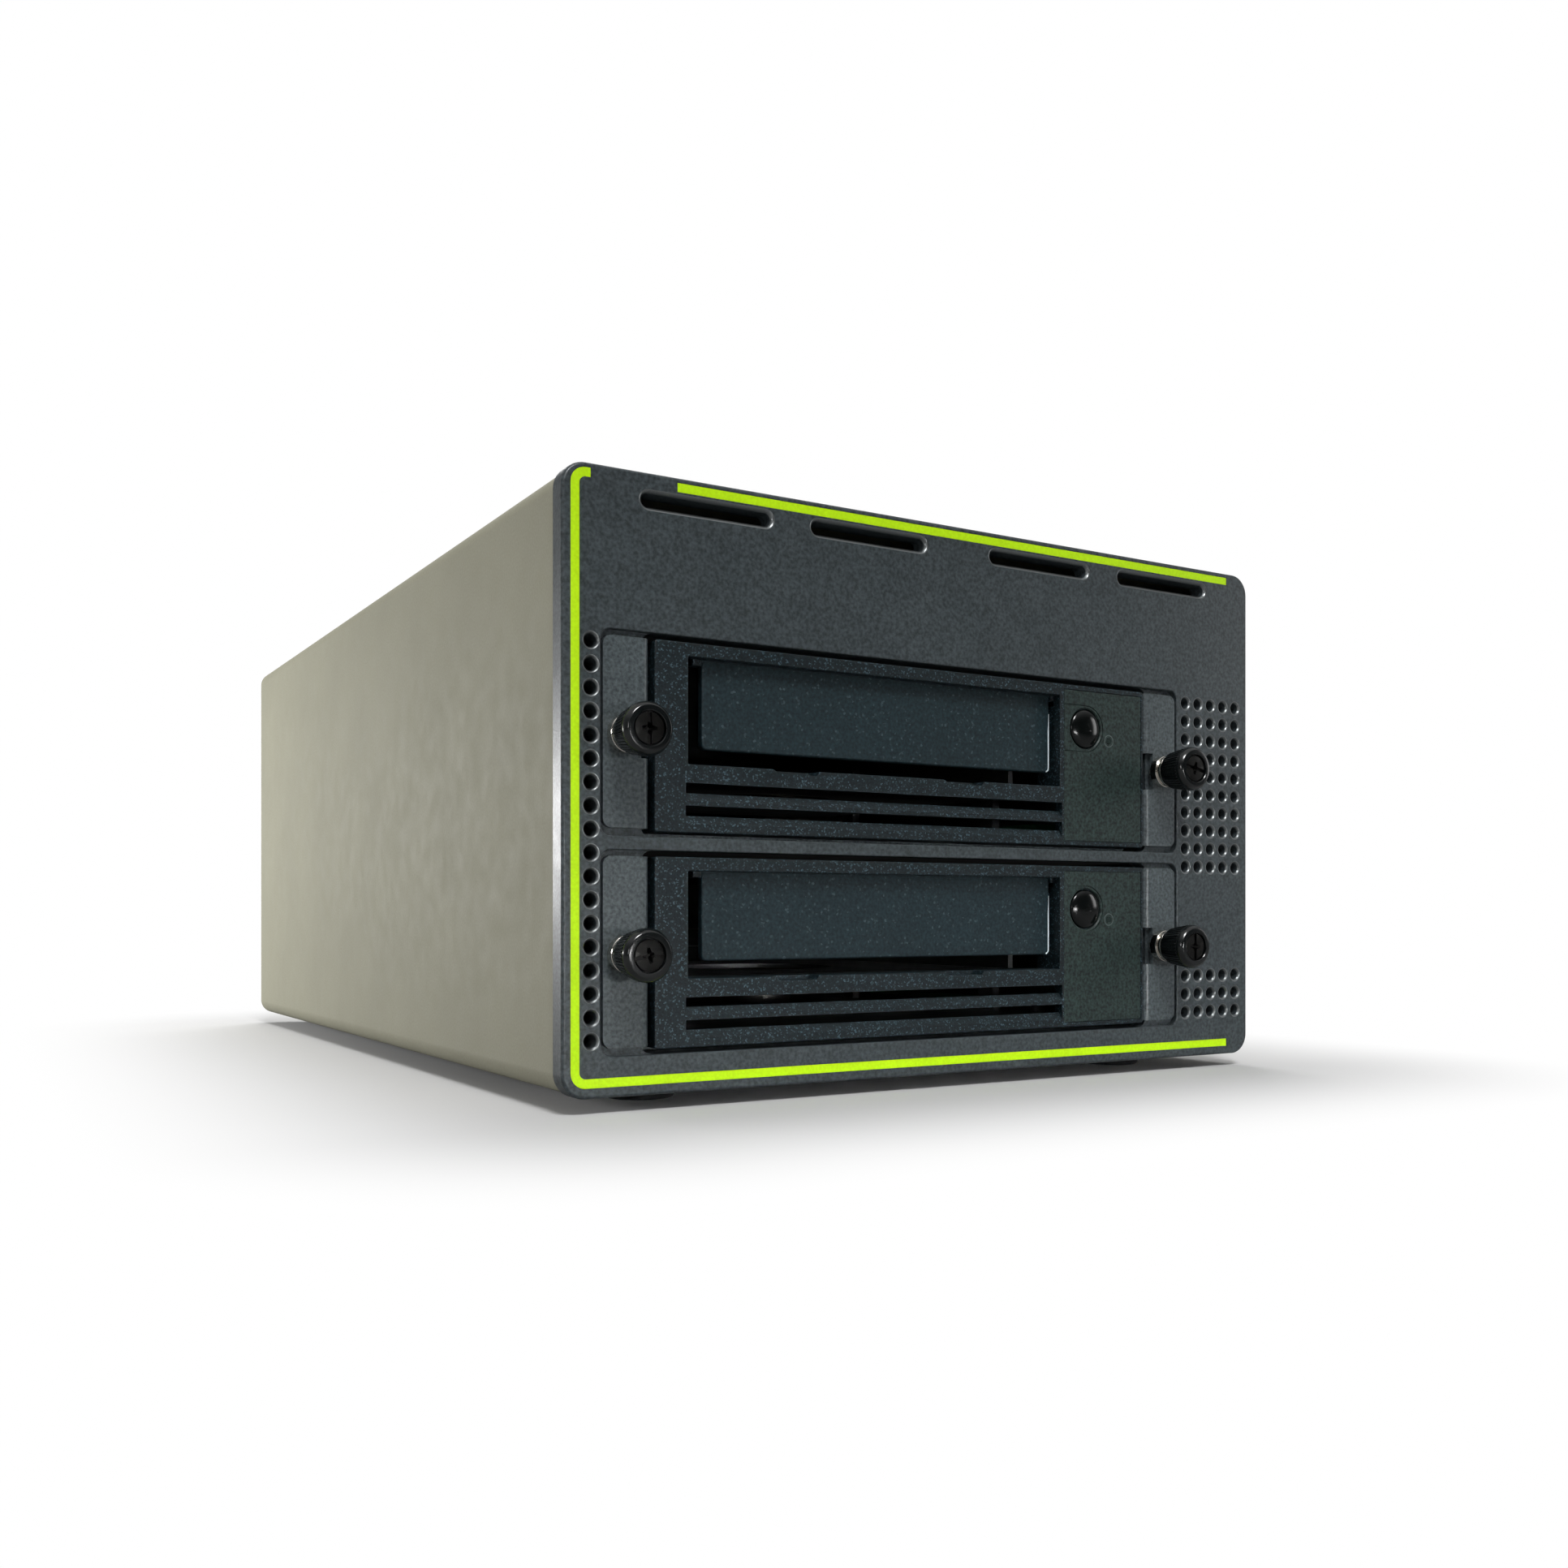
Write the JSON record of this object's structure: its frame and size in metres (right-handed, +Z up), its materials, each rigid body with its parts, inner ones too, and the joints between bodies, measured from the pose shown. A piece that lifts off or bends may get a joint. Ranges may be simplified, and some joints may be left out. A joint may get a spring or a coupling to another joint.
{
  "type": "data tape drive",
  "caption": "Desktop tape drive enclosure with stacked half-height drives on slide-out sleds held by captive thumbscrews, vented front panel and rear fan.",
  "frame": {"origin": "on the floor under the middle of the object, thumbscrews and rear switch included", "axes": "+X to the right seen from the front, +Y from the front to the back, +Z up"},
  "size_m": [0.211, 0.331, 0.1405],
  "materials": {
    "front_paint": "fine satin dark grey paint",
    "accent": "satin lime green",
    "case_paint": "satin warm dark grey paint",
    "plain_steel": "zinc-plated sheet",
    "feet_rubber": "matte black",
    "sled_paint": "satin grey paint",
    "bright_metal": "polished",
    "knob_black": "black anodised, knurled",
    "screw_black": "black oxide",
    "bezel_plastic": "fine spark-textured blue-black",
    "door_plastic": "smooth satin blue-black",
    "insert_plastic": "smooth satin black",
    "button_plastic": "gloss black",
    "light_pipe": "clear",
    "drive_metal": "cast and machined",
    "lid_steel": "zinc-plated sheet",
    "tray_metal": "formed sheet",
    "motor_metal": "machined",
    "reel_plastic": "moulded white",
    "head_ceramic": "dark ceramic and resin",
    "board_green": "solder-masked circuit board",
    "connector_black": "moulded",
    "fan_plastic": "moulded black",
    "guard_wire": "plated wire",
    "inlet_plastic": "moulded black",
    "rocker_plastic": "moulded black",
    "supply_case": "folded case"
  },
  "bodies": {
    "case": {"front_panel": "front_paint", "accent_stripe": "accent", "case_wrap": "case_paint", "base_pan": "plain_steel", "front_bulkhead": "plain_steel", "drive_cage": "plain_steel", "rear_panel": "case_paint", "rubber_feet": "feet_rubber", "fan_frame": "fan_plastic", "fan_guard": "guard_wire", "power_inlet": "inlet_plastic", "switch_frame": "inlet_plastic", "interface_card": "board_green", "data_sockets": "bright_metal", "power_supply": "supply_case", "case_screws": "screw_black"},
    "lower_sled": {"lower_sled": "sled_paint", "lower_ferrules": "bright_metal", "lower_drive_bezel": "bezel_plastic", "lower_control_insert": "insert_plastic", "lower_light_pipe": "light_pipe", "lower_drive_frame": "drive_metal", "lower_drive_lid": "lid_steel", "lower_head_block": "head_ceramic", "lower_drive_board": "board_green", "lower_data_connector": "connector_black"},
    "lower_door": {"lower_cartridge_door": "door_plastic"},
    "lower_button": {"lower_eject_button": "button_plastic"},
    "lower_tray": {"lower_cartridge_tray": "tray_metal"},
    "lower_hub": {"lower_hub_motor": "motor_metal"},
    "lower_reel": {"lower_takeup_reel": "reel_plastic"},
    "lower_left_washer": {"lower_left_washer": "bright_metal"},
    "lower_left_thumbscrew": {"lower_left_knob": "knob_black", "lower_left_screw": "screw_black"},
    "lower_right_washer": {"lower_right_washer": "bright_metal"},
    "lower_right_thumbscrew": {"lower_right_knob": "knob_black", "lower_right_screw": "screw_black"},
    "upper_sled": {"upper_sled": "sled_paint", "upper_ferrules": "bright_metal", "upper_drive_bezel": "bezel_plastic", "upper_control_insert": "insert_plastic", "upper_light_pipe": "light_pipe", "upper_drive_frame": "drive_metal", "upper_drive_lid": "lid_steel", "upper_head_block": "head_ceramic", "upper_drive_board": "board_green", "upper_data_connector": "connector_black"},
    "upper_door": {"upper_cartridge_door": "door_plastic"},
    "upper_button": {"upper_eject_button": "button_plastic"},
    "upper_tray": {"upper_cartridge_tray": "tray_metal"},
    "upper_hub": {"upper_hub_motor": "motor_metal"},
    "upper_reel": {"upper_takeup_reel": "reel_plastic"},
    "upper_left_washer": {"upper_left_washer": "bright_metal"},
    "upper_left_thumbscrew": {"upper_left_knob": "knob_black", "upper_left_screw": "screw_black"},
    "upper_right_washer": {"upper_right_washer": "bright_metal"},
    "upper_right_thumbscrew": {"upper_right_knob": "knob_black", "upper_right_screw": "screw_black"},
    "fan_rotor": {"fan_rotor": "fan_plastic"},
    "rocker": {"switch_rocker": "rocker_plastic"}
  },
  "joints": [
    {"name": "lower_sled_slide", "type": "slide", "parent": "case", "child": "lower_sled", "axis": [0, -1, 0], "range_m": [0, 0.18]},
    {"name": "lower_door_hinge", "type": "hinge", "parent": "lower_sled", "child": "lower_door", "pos_m": [-0.01855, -0.14875, 0.053], "axis": [1, 0, 0], "range_deg": [0, 88], "stiffness_Nm_per_rad": 0.01},
    {"name": "lower_button_press", "type": "slide", "parent": "lower_sled", "child": "lower_button", "axis": [0, 1, 0], "range_m": [0, 0.0015], "stiffness_N_per_m": 400},
    {"name": "lower_tray_lower", "type": "slide", "parent": "lower_sled", "child": "lower_tray", "axis": [0, 0, -1], "range_m": [0, 0.006]},
    {"name": "lower_hub_spin", "type": "hinge", "parent": "lower_sled", "child": "lower_hub", "pos_m": [-0.02025, -0.08685, 0.0184], "axis": [0, 0, 1], "continuous": true},
    {"name": "lower_reel_spin", "type": "hinge", "parent": "lower_sled", "child": "lower_reel", "pos_m": [-0.02025, 0.00915, 0.0244], "axis": [0, 0, 1], "continuous": true},
    {"name": "lower_left_screw_travel", "type": "slide", "parent": "lower_sled", "child": "lower_left_washer", "axis": [0, -1, 0], "range_m": [0, 0.0042]},
    {"name": "lower_left_screw_turn", "type": "hinge", "parent": "lower_left_washer", "child": "lower_left_thumbscrew", "pos_m": [-0.09067, -0.15285, 0.0346], "axis": [0, -1, 0], "range_deg": [0, 2160]},
    {"name": "lower_right_screw_travel", "type": "slide", "parent": "lower_sled", "child": "lower_right_washer", "axis": [0, -1, 0], "range_m": [0, 0.0042]},
    {"name": "lower_right_screw_turn", "type": "hinge", "parent": "lower_right_washer", "child": "lower_right_thumbscrew", "pos_m": [0.07147, -0.15285, 0.0346], "axis": [0, -1, 0], "range_deg": [0, 2160]},
    {"name": "upper_sled_slide", "type": "slide", "parent": "case", "child": "upper_sled", "axis": [0, -1, 0], "range_m": [0, 0.18]},
    {"name": "upper_door_hinge", "type": "hinge", "parent": "upper_sled", "child": "upper_door", "pos_m": [-0.01855, -0.14875, 0.10095], "axis": [1, 0, 0], "range_deg": [0, 88], "stiffness_Nm_per_rad": 0.01},
    {"name": "upper_button_press", "type": "slide", "parent": "upper_sled", "child": "upper_button", "axis": [0, 1, 0], "range_m": [0, 0.0015], "stiffness_N_per_m": 400},
    {"name": "upper_tray_lower", "type": "slide", "parent": "upper_sled", "child": "upper_tray", "axis": [0, 0, -1], "range_m": [0, 0.006]},
    {"name": "upper_hub_spin", "type": "hinge", "parent": "upper_sled", "child": "upper_hub", "pos_m": [-0.02025, -0.08685, 0.06635], "axis": [0, 0, 1], "continuous": true},
    {"name": "upper_reel_spin", "type": "hinge", "parent": "upper_sled", "child": "upper_reel", "pos_m": [-0.02025, 0.00915, 0.07235], "axis": [0, 0, 1], "continuous": true},
    {"name": "upper_left_screw_travel", "type": "slide", "parent": "upper_sled", "child": "upper_left_washer", "axis": [0, -1, 0], "range_m": [0, 0.0042]},
    {"name": "upper_left_screw_turn", "type": "hinge", "parent": "upper_left_washer", "child": "upper_left_thumbscrew", "pos_m": [-0.09067, -0.15285, 0.08255], "axis": [0, -1, 0], "range_deg": [0, 2160]},
    {"name": "upper_right_screw_travel", "type": "slide", "parent": "upper_sled", "child": "upper_right_washer", "axis": [0, -1, 0], "range_m": [0, 0.0042]},
    {"name": "upper_right_screw_turn", "type": "hinge", "parent": "upper_right_washer", "child": "upper_right_thumbscrew", "pos_m": [0.07147, -0.15285, 0.08255], "axis": [0, -1, 0], "range_deg": [0, 2160]},
    {"name": "fan_spin", "type": "hinge", "parent": "case", "child": "fan_rotor", "pos_m": [0.055, 0.14715, 0.072], "axis": [0, 1, 0], "continuous": true},
    {"name": "rocker_tip", "type": "hinge", "parent": "case", "child": "rocker", "pos_m": [-0.036, 0.15915, 0.104], "axis": [1, 0, 0], "range_deg": [0, 17]}
  ],
  "couplings": [
    {"joint": "lower_left_screw_turn", "follows": "lower_left_screw_travel", "rad_per_m": 8975.9},
    {"joint": "lower_right_screw_turn", "follows": "lower_right_screw_travel", "rad_per_m": 8975.9},
    {"joint": "upper_left_screw_turn", "follows": "upper_left_screw_travel", "rad_per_m": 8975.9},
    {"joint": "upper_right_screw_turn", "follows": "upper_right_screw_travel", "rad_per_m": 8975.9}
  ]
}
